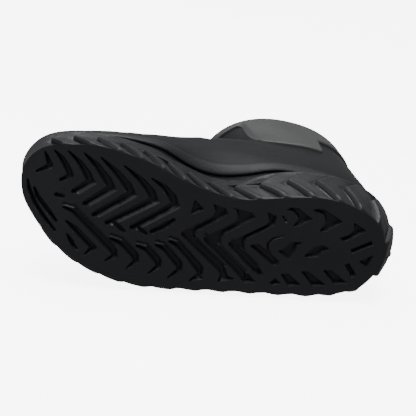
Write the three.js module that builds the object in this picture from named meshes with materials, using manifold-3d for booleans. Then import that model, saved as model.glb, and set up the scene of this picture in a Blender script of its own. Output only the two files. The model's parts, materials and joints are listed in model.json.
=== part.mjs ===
// Ankle-high rubber boot for the right foot: hollow moulded upper, raised collar with pull grips,
// rand, cup outsole with chevron side lugs and zigzag tread, insole.
// The pieces are built standing, in millimetres: x from heel to toe, y towards the inner side of
// the foot, z up from the tread. The whole boot is then laid down on its outer side.
import * as THREE from 'three';
import { mergeVertices } from 'three/addons/utils/BufferGeometryUtils.js';
import Module from 'manifold-3d';

const wasm = await Module();
wasm.setup();

// Sizes of the sole, in millimetres
const soleLength = 300;       // tread, heel to toe
const ballWidth = 104;        // tread, across the ball of the foot
const heelRise = 24;          // tread to foot bed under the heel
const toeSpring = 11;         // lift of the tread at the toe
const sideHeight = 40;        // side wall of the sole at the heel
const sideFlare = 8;          // lean of that side wall outwards
const lugPitch = 20;          // side lug to side lug, on average
const lugDepth = 2.8;         // deepest part of a side lug
const grooveDepth = 4.5;      // tread groove
const grooveWidth = 4.6;      // tread groove

// Sizes of the upper, collar, rand and insole
const rimHeight = 150;        // tread to collar rim
const wall = 2.4;             // moulded rubber of the upper
const fit = 0.3;              // clearance between pieces
const collarProud = 2.4;      // collar band over the upper
const bandHeight = 7.5;       // collar band at the front and back
const tabHeight = 28;         // collar band just behind the pull grip
const gripHeight = 52;        // pull grip below the rim
const gripWidth = 62;         // pull grip along the boot
const gripBack = 48;          // rear edge of the grip from the heel end
const randProud = 2.2;        // rand over the upper
const randHeight = 8.5;       // rand band
const randGap = 1.8;          // groove between the sole edge and the rand
const lastingMargin = 11;     // upper turned in under the foot
const insoleThick = 4;        // foot bed pad

// Tables count along the boot in 1/300 of the sole length, across it in 1/104 of the ball width
const alongUnit = soleLength / 300;
const acrossUnit = ballWidth / 104;

// Sole by station: along, inner and outer edge of the tread, flare of the inner and outer side
// (shares of sideFlare), height of the side wall (share of sideHeight), foot bed (of heelRise)
const soleRows = [
  { along: 1, inner: -3, outer: -3, flareIn: 1.5, flareOut: 1.5, side: 1.0, bed: 1.0 },
  { along: 6, inner: 14, outer: -19.5, flareIn: 1.45, flareOut: 1.4, side: 1.0, bed: 1.0 },
  { along: 18, inner: 27.5, outer: -33.5, flareIn: 1.2, flareOut: 1.15, side: 1.0, bed: 1.0 },
  { along: 43, inner: 35.8, outer: -43.5, flareIn: 1.0, flareOut: 0.9, side: 1.0, bed: 1.0 },
  { along: 66, inner: 36.3, outer: -48.3, flareIn: 0.95, flareOut: 0.8, side: 1.0, bed: 1.0 },
  { along: 94, inner: 30.4, outer: -53, flareIn: 0.95, flareOut: 0.75, side: 0.97, bed: 0.97 },
  { along: 126, inner: 21.4, outer: -58, flareIn: 0.6, flareOut: 0.7, side: 0.83, bed: 0.86 },
  { along: 150, inner: 21.2, outer: -61.8, flareIn: 0.35, flareOut: 0.7, side: 0.75, bed: 0.73 },
  { along: 180, inner: 26.7, outer: -66.2, flareIn: 0.5, flareOut: 0.7, side: 0.7, bed: 0.57 },
  { along: 204, inner: 33.5, outer: -66.3, flareIn: 0.55, flareOut: 0.7, side: 0.66, bed: 0.5 },
  { along: 230, inner: 37.1, outer: -61.5, flareIn: 0.45, flareOut: 0.65, side: 0.62, bed: 0.5 },
  { along: 250, inner: 37.2, outer: -54.3, flareIn: 0.35, flareOut: 0.5, side: 0.6, bed: 0.5 },
  { along: 270, inner: 32.4, outer: -42, flareIn: 0.3, flareOut: 0.35, side: 0.59, bed: 0.48 },
  { along: 285, inner: 26.5, outer: -28.8, flareIn: 0.1, flareOut: 0.1, side: 0.58, bed: 0.46 },
  { along: 294.5, inner: 17, outer: -16, flareIn: -0.1, flareOut: -0.15, side: 0.57, bed: 0.45 },
  { along: 299, inner: 2, outer: 2, flareIn: -0.2, flareOut: -0.2, side: 0.57, bed: 0.45 },
];

// Side wall profile: height share of the wall, share of the flare, share of lugDepth
const sideRows = [
  { up: 0, out: 0, dip: 0 },
  { up: 0.08, out: 0.22, dip: 0.8 },
  { up: 0.3, out: 0.68, dip: 1.0 },
  { up: 0.5, out: 0.92, dip: 0.75 },
  { up: 0.76, out: 1.0, dip: 0.45 },
  { up: 0.93, out: 1.0, dip: 0.35 },
  { up: 1, out: 0.92, dip: 0 },
];

// Upper by section, toe to collar. Each section is a plane from a low (or back) point to a top
// (or front) point. lowUp and topUp are shares of the height from foot bed to rim. inner, outer:
// widest reach to each side; ridge: side shift of the top point; belly: where it is widest;
// arch, base, crown: roundness of the lower inner, lower outer and upper quarters (2 = ellipse)
const upperRows = [
  { low: 291, lowUp: 0.02, top: 293, topUp: 0.13, inner: 9, outer: -5, ridge: 2,
    belly: 0.5, arch: 2.2, base: 2.2, crown: 2.1 },
  { low: 286, lowUp: 0, top: 288, topUp: 0.22, inner: 19, outer: -19, ridge: 1,
    belly: 0.45, arch: 2.6, base: 2.6, crown: 2.1 },
  { low: 274, lowUp: 0, top: 276, topUp: 0.3, inner: 27.5, outer: -34, ridge: 0,
    belly: 0.4, arch: 3, base: 3, crown: 2.1 },
  { low: 255, lowUp: 0, top: 256, topUp: 0.375, inner: 34, outer: -48, ridge: -2,
    belly: 0.36, arch: 3, base: 3.2, crown: 2.1 },
  { low: 230, lowUp: 0, top: 228, topUp: 0.45, inner: 38.5, outer: -59, ridge: -4,
    belly: 0.34, arch: 3, base: 3.2, crown: 2.1 },
  { low: 200, lowUp: 0, top: 198, topUp: 0.53, inner: 40, outer: -65, ridge: -6,
    belly: 0.4, arch: 2.6, base: 3.2, crown: 2.1 },
  { low: 172, lowUp: 0, top: 178, topUp: 0.615, inner: 38.5, outer: -64, ridge: -6,
    belly: 0.48, arch: 2.1, base: 3.2, crown: 2.1 },
  { low: 145, lowUp: 0, top: 163, topUp: 0.69, inner: 39, outer: -61, ridge: -6,
    belly: 0.5, arch: 2, base: 3, crown: 2.1 },
  { low: 115, lowUp: 0, top: 153, topUp: 0.75, inner: 41, outer: -57.5, ridge: -6,
    belly: 0.5, arch: 2.3, base: 3, crown: 2.1 },
  { low: 85, lowUp: 0, top: 147, topUp: 0.8, inner: 42.5, outer: -54.5, ridge: -6,
    belly: 0.5, arch: 2.9, base: 3, crown: 2.1 },
  { low: 55, lowUp: 0, top: 143.5, topUp: 0.84, inner: 43.5, outer: -52.5, ridge: -6,
    belly: 0.5, arch: 2.9, base: 2.9, crown: 2.1 },
  { low: 27, lowUp: 0.01, top: 141, topUp: 0.87, inner: 44, outer: -52, ridge: -6,
    belly: 0.5, arch: 2.6, base: 2.6, crown: 2.1 },
  { low: 5, lowUp: 0.06, top: 139.3, topUp: 0.9, inner: 44, outer: -52, ridge: -6,
    belly: 0.5, arch: 2.3, base: 2.3, crown: 2.1 },
  { low: -5, lowUp: 0.17, top: 138.2, topUp: 0.925, inner: 44, outer: -52.5, ridge: -6,
    belly: 0.5, arch: 2.2, base: 2.2, crown: 2.1 },
  { low: -6, lowUp: 0.33, top: 137.3, topUp: 0.947, inner: 44.5, outer: -53.5, ridge: -6,
    belly: 0.5, arch: 2.2, base: 2.2, crown: 2.1 },
  { low: -3, lowUp: 0.51, top: 136.6, topUp: 0.965, inner: 45.5, outer: -55, ridge: -5.5,
    belly: 0.5, arch: 2.2, base: 2.2, crown: 2.1 },
  { low: 0.5, lowUp: 0.7, top: 136, topUp: 0.98, inner: 46.5, outer: -56.2, ridge: -5,
    belly: 0.5, arch: 2.2, base: 2.2, crown: 2.15 },
  { low: 3, lowUp: 0.86, top: 135.6, topUp: 0.99, inner: 47, outer: -57, ridge: -5,
    belly: 0.5, arch: 2.2, base: 2.2, crown: 2.2 },
  { low: 4.5, lowUp: 1, top: 135.3, topUp: 1, inner: 47.5, outer: -57.5, ridge: -5,
    belly: 0.5, arch: 2.2, base: 2.2, crown: 2.2 },
  { low: 5.5, lowUp: 1.14, top: 135, topUp: 1.14, inner: 48, outer: -58, ridge: -5,
    belly: 0.5, arch: 2.2, base: 2.2, crown: 2.2 },
];

// Tread grooves, each a line of four points [along, across]; wide is a share of grooveWidth
// Inner half of the forefoot, toe to waist
const forefootInner = [
  { wide: 0.8, start: [285, 21], knee: [282, 17], apex: [279.5, 12], end: [287, 5] },
  { wide: 0.9, start: [278, 24], knee: [268, 16], apex: [263, 8.5], end: [268, 4] },
  { wide: 1, start: [268, 26.5], knee: [258, 20], apex: [247, 8], end: [257, -3] },
  { wide: 1, start: [256, 28], knee: [246, 22], apex: [230.5, 7], end: [246, -10] },
  { wide: 1, start: [243, 28], knee: [231, 21], apex: [214, 6], end: [237, -17] },
  { wide: 1, start: [224, 26], knee: [209, 18], apex: [195.5, 5], end: [226, -21.5] },
  { wide: 1, start: [201, 21], knee: [190, 16.5], apex: [178.5, 5], end: [206, -21] },
];
// Outer half of the forefoot, toe to waist
const forefootOuter = [
  { wide: 1, start: [261, -18.5], knee: [253, -19], apex: [214.5, -44.5], end: [220, -52] },
  { wide: 1, start: [256, -29], knee: [250, -32], apex: [231.5, -44.5], end: [236.5, -51] },
  { wide: 0.7, start: [253, -39.5], knee: [250, -43], apex: [247.5, -46], end: [244, -48] },
  { wide: 1, start: [220, -34.5], knee: [210, -36], apex: [196, -46], end: [201, -55] },
  { wide: 1, start: [198, -36], knee: [190, -36.5], apex: [177.5, -46.5], end: [183, -55] },
  { wide: 1, start: [183.5, -32], knee: [177, -32.5], apex: [160.5, -45.5], end: [167, -55] },
  { wide: 1, start: [174, -26.5], knee: [167, -27.5], apex: [143.5, -45.5], end: [149, -54] },
  { wide: 0.8, start: [287, -10], knee: [283.5, -15], apex: [276, -21.5], end: [266, -30] },
  { wide: 0.7, start: [290.5, -7], knee: [288.5, -14], apex: [280, -24], end: [266, -36] },
];
// Waist: zigzags under the arch and their long outer arms
const waistBars = [
  { wide: 0.9, start: [176, -8], knee: [180, -12], apex: [184, -16], end: [190, -21] },
  { wide: 1, start: [163, 10], knee: [164, 2], apex: [160, 2], end: [156, 6] },
  { wide: 1, start: [154, 11], knee: [149, 9], apex: [145.5, 4], end: [166, -17] },
  { wide: 1, start: [136, 11], knee: [131, 9], apex: [127, 4], end: [149.5, -17.5] },
  { wide: 1, start: [112, 15], knee: [105, 12], apex: [101.5, 5], end: [127, -18] },
  { wide: 1, start: [97, 2.5], knee: [104, -4], apex: [111, -14.5], end: [89, -27.5] },
  { wide: 1, start: [166, -17], knee: [157, -22.5], apex: [124, -43.5], end: [127, -50] },
  { wide: 1, start: [149.5, -17.5], knee: [138.5, -23], apex: [106, -43.5], end: [108, -47] },
  { wide: 1, start: [127, -18], knee: [117.5, -24], apex: [100, -35], end: [96.5, -38] },
];
// Toe pin hole and pockets round the heel
const smallPockets = [
  { wide: 0.9, start: [269.3, -9.5], knee: [268, -9.5], apex: [266, -9.5], end: [265, -9.5] },
  { wide: 1.2, start: [72, -5], knee: [79, -9], apex: [87, -14], end: [77, -18.5] },
  { wide: 1.3, start: [50, -6], knee: [55, -8], apex: [60, -11], end: [65, -12.5] },
  { wide: 1.3, start: [89, 20], knee: [83, 19], apex: [77, 14], end: [81, 9] },
  { wide: 1.4, start: [68, 24.5], knee: [62, 22], apex: [55, 16.5], end: [60, 9.5] },
  { wide: 1.4, start: [36, 21], knee: [31, 18], apex: [29, 15], end: [40, 9] },
  { wide: 1.1, start: [16, 9.5], knee: [20, 6.5], apex: [25, 2.5], end: [28, -1.5] },
  { wide: 1.3, start: [12.5, -3], knee: [13, -6], apex: [14, -8], end: [16, -10] },
  { wide: 0.9, start: [30, -12.5], knee: [26, -15.5], apex: [22, -18.5], end: [18.5, -21] },
  { wide: 1.3, start: [44.5, -22], knee: [40, -24.5], apex: [34.5, -27.5], end: [30.5, -29.5] },
  { wide: 1.3, start: [62, -27], knee: [56, -31], apex: [51, -34], end: [46, -35.5] },
  { wide: 1.2, start: [75.5, -32.5], knee: [71, -35], apex: [68, -37], end: [65, -38] },
  { wide: 0.9, start: [85.5, -39.5], knee: [84, -40.5], apex: [82, -41], end: [80, -41.2] },
];

const matt = (name, color, roughness) =>
  new THREE.MeshStandardMaterial({ name, color, roughness, metalness: 0 });
const upperRubber = matt('upper_rubber', 0x303133, 0.55);
const soleRubber = matt('sole_rubber', 0x191a1c, 0.62);
const bedFoam = matt('bed_foam', 0x2a2b2d, 0.9);

// Smooth reading of one column of a table at a place between its rows
const read = (rows, key, column, at) => {
  const last = rows.length - 1;
  const next = Math.min(Math.max(rows.findIndex((row) => row[key] > at), 1), last);
  const i = rows[next][key] > at ? next : last;
  const slope = (a, b) => (rows[b][column] - rows[a][column]) / (rows[b][key] - rows[a][key]);
  const span = rows[i][key] - rows[i - 1][key];
  const here = slope(i - 1, i);
  const into = i > 1 ? (slope(i - 2, i - 1) + here) / 2 : here;
  const away = i < last ? (slope(i, i + 1) + here) / 2 : here;
  const t = Math.min(Math.max((at - rows[i - 1][key]) / span, 0), 1);
  const blend = t * t * (3 - 2 * t);
  const lift = into * t * (1 - t) ** 2 - away * t * t * (1 - t);
  return rows[i - 1][column] * (1 - blend) + rows[i][column] * blend + lift * span;
};

// Heights over the floor of the standing boot, by place along it
const shareOfSole = (x) => x / alongUnit;
const springFrom = 0.72;
const treadAt = (x) => toeSpring * Math.max(0, (x / soleLength - springFrom) / (1 - springFrom)) ** 2;
const sideAt = (x) => treadAt(x) + sideHeight * read(soleRows, 'along', 'side', shareOfSole(x));
const bedAt = (x) => treadAt(x) + heelRise * read(soleRows, 'along', 'bed', shareOfSole(x));

// Closed solid from rings of equally many points; the end rings are closed by ladders of strips
const solidFromRings = (rings) => {
  const count = rings[0].length;
  const positions = rings.flat(2);
  const index = [];
  const quad = (a, b, c, d) => index.push(a, b, c, a, c, d);
  for (let k = 0; k + 1 < rings.length; k += 1) {
    for (let i = 0; i < count; i += 1) {
      const j = (i + 1) % count;
      quad(k * count + i, k * count + j, (k + 1) * count + j, (k + 1) * count + i);
    }
  }
  for (const [start, turned] of [[0, true], [(rings.length - 1) * count, false]]) {
    for (let i = 0; i < count / 2 - 1; i += 1) {
      const j = count - 1 - i;
      const strip = [start + i, start + i + 1, start + j - 1, start + j];
      quad(...(turned ? strip.reverse() : strip));
    }
  }
  const geometry = new THREE.BufferGeometry();
  geometry.setAttribute('position', new THREE.Float32BufferAttribute(positions, 3));
  geometry.setIndex(index);
  return toManifold(geometry);
};

const toManifold = (source) => {
  const geometry = mergeVertices(source, 1e-4);
  const triangles = [];
  const index = geometry.index.array;
  for (let i = 0; i < index.length; i += 3) {
    const [a, b, c] = [index[i], index[i + 1], index[i + 2]];
    if (a !== b && b !== c && a !== c) triangles.push(a, b, c);
  }
  const mesh = new wasm.Mesh({
    numProp: 3,
    vertProperties: new Float32Array(geometry.attributes.position.array),
    triVerts: new Uint32Array(triangles),
  });
  const solid = new wasm.Manifold(mesh);
  return solid.volume() < 0 ? insideOut(geometry, triangles) : solid;
};

const insideOut = (geometry, triangles) => {
  const turned = [];
  for (let i = 0; i < triangles.length; i += 3) {
    turned.push(triangles[i], triangles[i + 2], triangles[i + 1]);
  }
  return new wasm.Manifold(new wasm.Mesh({
    numProp: 3,
    vertProperties: new Float32Array(geometry.attributes.position.array),
    triVerts: new Uint32Array(turned),
  }));
};

const toMesh = (name, solid, material) => {
  const data = solid.getMesh();
  const geometry = new THREE.BufferGeometry();
  geometry.setAttribute('position', new THREE.Float32BufferAttribute(data.vertProperties, 3));
  geometry.setIndex(Array.from(data.triVerts));
  const mesh = new THREE.Mesh(geometry, material);
  mesh.name = name;
  geometry.computeVertexNormals();
  return mesh;
};

// A form cut straight through the boot: outline points [along, up], reaching from side to side
const throughWidth = (sideOutline) => {
  const shape = new THREE.Shape(sideOutline.map(([x, z]) => new THREE.Vector2(x, z)));
  const slab = new THREE.ExtrudeGeometry(shape, { depth: 2 * ballWidth, bevelEnabled: false });
  slab.deleteAttribute('normal');
  slab.deleteAttribute('uv');
  slab.rotateX(Math.PI / 2);
  slab.translate(0, ballWidth, 0);
  return toManifold(slab);
};

// Outline of the sole: a smooth closed line through its stations, the flare kept as third value
const outlineCurve = () => {
  const ends = soleRows.length - 1;
  const point = (row, side, flare) =>
    new THREE.Vector3(row.along * alongUnit, row[side] * acrossUnit, row[flare] * sideFlare);
  const inner = soleRows.slice(0, ends + 1).map((row) => point(row, 'inner', 'flareIn'));
  const outer = soleRows.slice(1, ends).reverse().map((row) => point(row, 'outer', 'flareOut'));
  return new THREE.CatmullRomCurve3([...inner, ...outer], true, 'centripetal');
};
const outline = outlineCurve();
outline.arcLengthDivisions = 600;
outline.updateArcLengths();
const outlineLength = outline.getLength();
const toeShare = (() => {
  let best = 0;
  for (let share = 0; share < 1; share += 0.002) {
    if (outline.getPointAt(share).x > outline.getPointAt(best).x) best = share;
  }
  return best;
})();

// Point of the outline and its outward direction in the plane of the tread
const onOutline = (share) => {
  const place = outline.getPointAt(((share % 1) + 1) % 1);
  const along = outline.getTangentAt(((share % 1) + 1) % 1);
  const size = Math.hypot(along.x, along.y);
  return { x: place.x, y: place.y, flare: place.z, outX: -along.y / size, outY: along.x / size };
};

// The ring of the sole at one row of the side profile. Side lugs run from heel to toe on both
// sides, closer together towards the toe: each face rises towards the toe and ends in a step
// that bends to a chevron
const lugsPerSide = Math.round(outlineLength / 2 / lugPitch);
const lugFace = [
  { place: 0, dip: 1 },
  { place: 0.5, dip: 0.62 },
  { place: 0.72, dip: 0.12 },
  { place: 0.9, dip: 0 },
  { place: 0.97, dip: 0.06 },
];
const lugStart = 0.25;
const lugCrowding = 0.22;
const chevronUp = 1.3;
const chevronDown = 0.6;
const chevronBend = 0.5;
const usualSide = 0.75;
const slantFromHeel = 0.25;
const slantToToe = 0.2;
const soleRing = (row) => {
  const ring = [];
  const steps = lugsPerSide * lugFace.length;
  for (const side of [1, -1]) {
    for (let step = 0; step < steps; step += 1) {
      const count = side > 0 ? step : steps - step;
      const lug = Math.floor(count / lugFace.length);
      const { place, dip } = lugFace[count % lugFace.length];
      const even = Math.min(Math.max((lug + place - lugStart) / (lugsPerSide - lugStart), 0), 1);
      const t = even + lugCrowding * even * (1 - even);
      const rise = (row.up - chevronBend) * sideHeight * usualSide;
      const slant = (rise > 0 ? chevronUp * rise : -chevronDown * rise) / outlineLength * 2;
      const ease = Math.min(1, t / slantFromHeel, (1 - t) / slantToToe);
      const along = t - slant * ease;
      const share = side > 0 ? along * toeShare : 1 - along * (1 - toeShare);
      const at = onOutline(share);
      const ends = t === 0 || t === 1 ? 0 : 1;
      const out = at.flare * row.out - lugDepth * row.dip * dip * ends;
      const [x, y] = [at.x + at.outX * out, at.y + at.outY * out];
      ring.push([x, y, treadAt(at.x) + row.up * (sideAt(at.x) - treadAt(at.x))]);
    }
  }
  return ring;
};

// Sections of the upper, grown or shrunk by an offset. The offset moves the low and top points
// along the outward direction of the side view and the reach to each side by the same length
const sectionKeys = Object.keys(upperRows[0]);
const sectionAt = (place) => {
  const rows = upperRows.map((row, order) => ({ ...row, order }));
  const row = {};
  for (const key of sectionKeys) row[key] = read(rows, 'order', key, place);
  const bed = bedAt(Math.max(row.low * alongUnit, 0));
  return {
    ...row,
    low: new THREE.Vector2(row.low * alongUnit, bed + row.lowUp * (rimHeight - bed)),
    top: new THREE.Vector2(row.top * alongUnit, bed + row.topUp * (rimHeight - bed)),
  };
};
const sectionPlaces = [0, 0.5, 1, 1.5, 2, 2.6, 3.2, 4, 4.7, 5.4, 6, 6.6, 7.3, 8, 9, 10, 10.6, 11.2,
  11.8, 12.4, 13, 14, 15, 16, 17, 19];
const sections = sectionPlaces.map(sectionAt);
const loopPoints = 28;

const outwardOf = (line, i) => {
  const a = line[Math.max(i - 1, 0)];
  const b = line[Math.min(i + 1, line.length - 1)];
  return new THREE.Vector2(b.y - a.y, a.x - b.x).normalize();
};

const upperForm = (offset) => {
  const lows = sections.map((section) => section.low);
  const tops = sections.map((section) => section.top);
  const profile = [...lows.slice().reverse(), ...tops];
  const rings = sections.map((section, i) => {
    const low = section.low.clone()
      .addScaledVector(outwardOf(profile, lows.length - 1 - i), offset);
    const top = section.top.clone().addScaledVector(outwardOf(profile, lows.length + i), offset);
    const reachIn = section.inner * acrossUnit + offset;
    const reachOut = section.outer * acrossUnit - offset;
    const middle = (reachIn + reachOut) / 2;
    const half = (reachIn - reachOut) / 2;
    const ring = [];
    for (let k = 0; k < loopPoints; k += 1) {
      const angle = 2 * Math.PI * (k + 0.5) / loopPoints;
      const sideways = Math.sin(angle);
      const upright = -Math.cos(angle);
      const lowRound = sideways > 0 ? section.arch : section.base;
      const round = upright < 0 ? lowRound : section.crown;
      const power = 2 / round;
      const wide = Math.sign(sideways) * Math.abs(sideways) ** power;
      const high = Math.sign(upright) * Math.abs(upright) ** power;
      const t = high < 0 ? section.belly * (1 + high) : section.belly + (1 - section.belly) * high;
      const shift = Math.max(0, high) * (section.ridge * acrossUnit - middle);
      const y = middle + shift + half * wide;
      ring.push([low.x + (top.x - low.x) * t, y, low.y + (top.y - low.y) * t]);
    }
    return ring;
  });
  return solidFromRings(rings);
};

// A slab under a line that follows the foot, for cutting by height
const farOut = 2 * soleLength;
const stationCount = 25;
const overhang = 0.1 * soleLength;
const stations = Array.from({ length: stationCount }, (_, i) =>
  -overhang + (soleLength + 2 * overhang) * i / (stationCount - 1));
const below = (heightAt) => throughWidth([
  ...stations.map((x) => [x, heightAt(Math.min(Math.max(x, 0), soleLength))]),
  [stations[stations.length - 1], -farOut], [stations[0], -farOut],
]);
const above = (height) => throughWidth([
  [-farOut, height], [farOut, height], [farOut, farOut], [-farOut, farOut],
]);

// An upright form inside the sole outline, for the open underside of the upper
const edgePoints = 48;
const insideOutline = (inset) => {
  const ring = (z) => Array.from({ length: edgePoints }, (_, i) => {
    const at = onOutline(i / edgePoints);
    return [at.x - at.outX * inset, at.y - at.outY * inset, z];
  });
  return solidFromRings([ring(-farOut), ring(heelRise + toeSpring + wall)]);
};

const outerForm = upperForm(0);
const innerForm = upperForm(-wall);
const coverForm = upperForm(fit);
const rimCut = above(rimHeight);

const buildUpper = () => outerForm
  .subtract(innerForm)
  .subtract(rimCut)
  .subtract(insideOutline(lastingMargin).intersect(below((x) => bedAt(x) + 2 * wall)));

// Groove of the tread: a strip along its line, from below the tread up to the groove floor
const sharpest = 0.55;
const groove = ({ wide, ...places }) => {
  const line = Object.values(places)
    .map(([x, y]) => new THREE.Vector2(x * alongUnit, y * acrossUnit));
  const half = wide * grooveWidth / 2;
  const left = [];
  const right = [];
  line.forEach((point, i) => {
    const before = line[Math.max(i - 1, 0)];
    const after = line[Math.min(i + 1, line.length - 1)];
    const into = point.clone().sub(i > 0 ? before : after).multiplyScalar(i > 0 ? 1 : -1);
    const away = after.clone().sub(i < line.length - 1 ? point : before);
    into.normalize();
    away.normalize();
    const bisector = into.clone().add(away).normalize();
    const stretch = half / Math.max(sharpest, bisector.dot(into));
    left.push([point.x - bisector.y * stretch, point.y + bisector.x * stretch]);
    right.push([point.x + bisector.y * stretch, point.y - bisector.x * stretch]);
  });
  const edge = [...left, ...right.reverse()];
  const under = edge.map(([x, y]) => [x, y, treadAt(x) - grooveDepth]);
  const floor = edge.map(([x, y]) => [x, y, treadAt(x) + grooveDepth]);
  return solidFromRings([under, floor]);
};

const buildOutsole = () => {
  const tread = [...forefootInner, ...forefootOuter, ...waistBars, ...smallPockets]
    .map(groove)
    .reduce((all, one) => all.add(one));
  return solidFromRings(sideRows.map(soleRing)).subtract(coverForm).subtract(tread);
};

// Collar band round the rim with a deep pull grip on both sides, cut between two larger forms.
// Behind the grip the band starts deep and narrows towards the heel
const buildCollar = () => {
  const bandLow = rimHeight - bandHeight;
  const gripLow = rimHeight - gripHeight;
  const [from, to] = [gripBack, gripBack + gripWidth];
  const corner = gripWidth / 8;
  const front = [[farOut, bandLow], [to + corner / 3, bandLow], [to, bandLow - corner / 3],
    [to, gripLow + corner], [to - corner / 3, gripLow + corner / 3], [to - corner, gripLow]];
  const back = [[from + corner / 4, gripLow], [from, gripLow + corner / 4]];
  const narrowing = [0, 0.25, 0.5, 0.75, 1].map((t) =>
    [(from - corner / 4) * (1 - t),
      rimHeight - tabHeight + (tabHeight - bandHeight) * Math.sin(t * Math.PI / 2)]);
  const region = throughWidth([...front, ...back, [from, rimHeight - tabHeight - corner / 4],
    ...narrowing, [-farOut, bandLow], [-farOut, rimHeight], [farOut, rimHeight]]);
  return upperForm(fit + collarProud).subtract(coverForm).intersect(region);
};

// Rand: a proud band that follows the top edge of the sole round the whole foot
const buildRand = () => upperForm(fit + randProud)
  .subtract(coverForm)
  .intersect(below((x) => sideAt(x) + randGap + randHeight))
  .subtract(below((x) => sideAt(x) + randGap));

const buildInsole = () => upperForm(-wall - fit)
  .intersect(below((x) => bedAt(x) + wall + fit + insoleThick));

const pieces = [
  toMesh('outsole', buildOutsole(), soleRubber),
  toMesh('upper', buildUpper(), upperRubber),
  toMesh('rand', buildRand(), upperRubber),
  toMesh('collar_band', buildCollar(), upperRubber),
  toMesh('insole', buildInsole(), bedFoam),
];

// Rest: the boot lies on the outer side of its sole, at ball and heel, and of its collar. The
// plane through the lowest point of each of these three places becomes the floor
const corners = pieces.flatMap((mesh) => {
  const place = mesh.geometry.attributes.position;
  return Array.from({ length: place.count }, (_, i) => new THREE.Vector3().fromBufferAttribute(place, i));
});
const restPlaces = [
  corners.filter((point) => point.x > soleLength / 2 && point.z < sideHeight),
  corners.filter((point) => point.x < soleLength / 3 && point.z < sideHeight),
  corners.filter((point) => point.z > rimHeight - bandHeight * 2),
];
const restUp = (() => {
  let up = new THREE.Vector3(0, 1, 0);
  for (let round = 0; round < 6; round += 1) {
    const [ball, heel, collar] = restPlaces.map((points) =>
      points.reduce((least, point) => (point.dot(up) < least.dot(up) ? point : least)));
    up = ball.clone().sub(heel).cross(collar.clone().sub(heel)).normalize();
    if (up.y < 0) up.negate();
  }
  return up;
})();
const restBack = new THREE.Vector3(-1, 0, 0).addScaledVector(restUp, restUp.x).normalize();
const restShaft = restUp.clone().cross(restBack);
const toRest = new THREE.Matrix4().makeBasis(restBack, restShaft, restUp).transpose();

const boot = new THREE.Group();
boot.name = 'boot';
boot.add(...pieces);
boot.setRotationFromMatrix(toRest);
const box = new THREE.Box3().setFromPoints(corners.map((point) => point.clone().applyMatrix4(toRest)));
boot.position.set(-(box.min.x + box.max.x) / 2, -(box.min.y + box.max.y) / 2, -box.min.z);

const object = new THREE.Group();
object.name = 'rubber_boot';
object.add(boot);

export default object;
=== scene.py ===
"""Rubber boot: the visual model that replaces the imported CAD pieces, laid out as an add-on.

Shapes are worked out in the shoe's own frame, in millimetres: x from heel to toe, y towards the
inner side of the foot, z up from the tread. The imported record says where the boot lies.
"""
import json
import math

import bmesh
import bpy
import numpy as np
from bpy.props import FloatProperty, FloatVectorProperty, PointerProperty
from mathutils import Matrix, Vector
from mathutils.bvhtree import BVHTree
from mathutils.geometry import delaunay_2d_cdt


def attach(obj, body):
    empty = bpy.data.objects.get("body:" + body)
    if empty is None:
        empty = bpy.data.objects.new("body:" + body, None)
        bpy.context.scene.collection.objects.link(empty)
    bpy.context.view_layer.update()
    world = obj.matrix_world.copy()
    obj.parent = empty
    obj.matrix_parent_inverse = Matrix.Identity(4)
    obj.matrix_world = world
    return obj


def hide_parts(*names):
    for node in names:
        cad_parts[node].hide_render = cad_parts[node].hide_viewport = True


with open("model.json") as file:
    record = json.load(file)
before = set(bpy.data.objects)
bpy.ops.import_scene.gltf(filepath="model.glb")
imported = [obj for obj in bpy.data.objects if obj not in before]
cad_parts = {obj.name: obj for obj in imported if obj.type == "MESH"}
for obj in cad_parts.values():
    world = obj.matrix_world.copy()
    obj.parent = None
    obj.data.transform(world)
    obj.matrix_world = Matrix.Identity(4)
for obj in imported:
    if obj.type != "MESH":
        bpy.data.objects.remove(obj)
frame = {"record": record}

bl_info = {
    "name": "Rubber boot",
    "version": (1, 0, 0),
    "blender": (4, 5, 0),
    "location": "3D View > Sidebar > Rubber boot",
    "description": "Moulded rubber boot with cleated outsole, rand, collar with pull grips and insole",
    "category": "Object",
}


def table(names, *rows):
    """Rows of numbers as one array for each named column."""
    return dict(zip(names, np.array(rows, dtype=float).T))


# Tables. Along counts in 1/300 of the sole length, across in 1/104 of the ball width

# Edges of the tread, flare of the sides, height of the side wall and foot bed, by station
SOLE = table(
    ("along", "inner", "outer", "inner_flare", "outer_flare", "side", "bed"),
    (1, -3, -3, 1.5, 1.5, 1.0, 1.0),
    (6, 14, -19.5, 1.45, 1.4, 1.0, 1.0),
    (18, 27.5, -33.5, 1.2, 1.15, 1.0, 1.0),
    (43, 35.8, -43.5, 1.0, 0.9, 1.0, 1.0),
    (66, 36.3, -48.3, 0.95, 0.8, 1.0, 1.0),
    (94, 30.4, -53, 0.95, 0.75, 0.97, 0.97),
    (126, 21.4, -58, 0.6, 0.7, 0.83, 0.86),
    (150, 21.2, -61.8, 0.35, 0.7, 0.75, 0.73),
    (180, 26.7, -66.2, 0.5, 0.7, 0.7, 0.57),
    (204, 33.5, -66.3, 0.55, 0.7, 0.66, 0.5),
    (230, 37.1, -61.5, 0.45, 0.65, 0.62, 0.5),
    (250, 37.2, -54.3, 0.35, 0.5, 0.6, 0.5),
    (270, 32.4, -42, 0.3, 0.35, 0.59, 0.48),
    (285, 26.5, -28.8, 0.1, 0.1, 0.58, 0.46),
    (294.5, 17, -16, -0.1, -0.15, 0.57, 0.45),
    (299, 2, 2, -0.2, -0.2, 0.57, 0.45),
)

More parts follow.
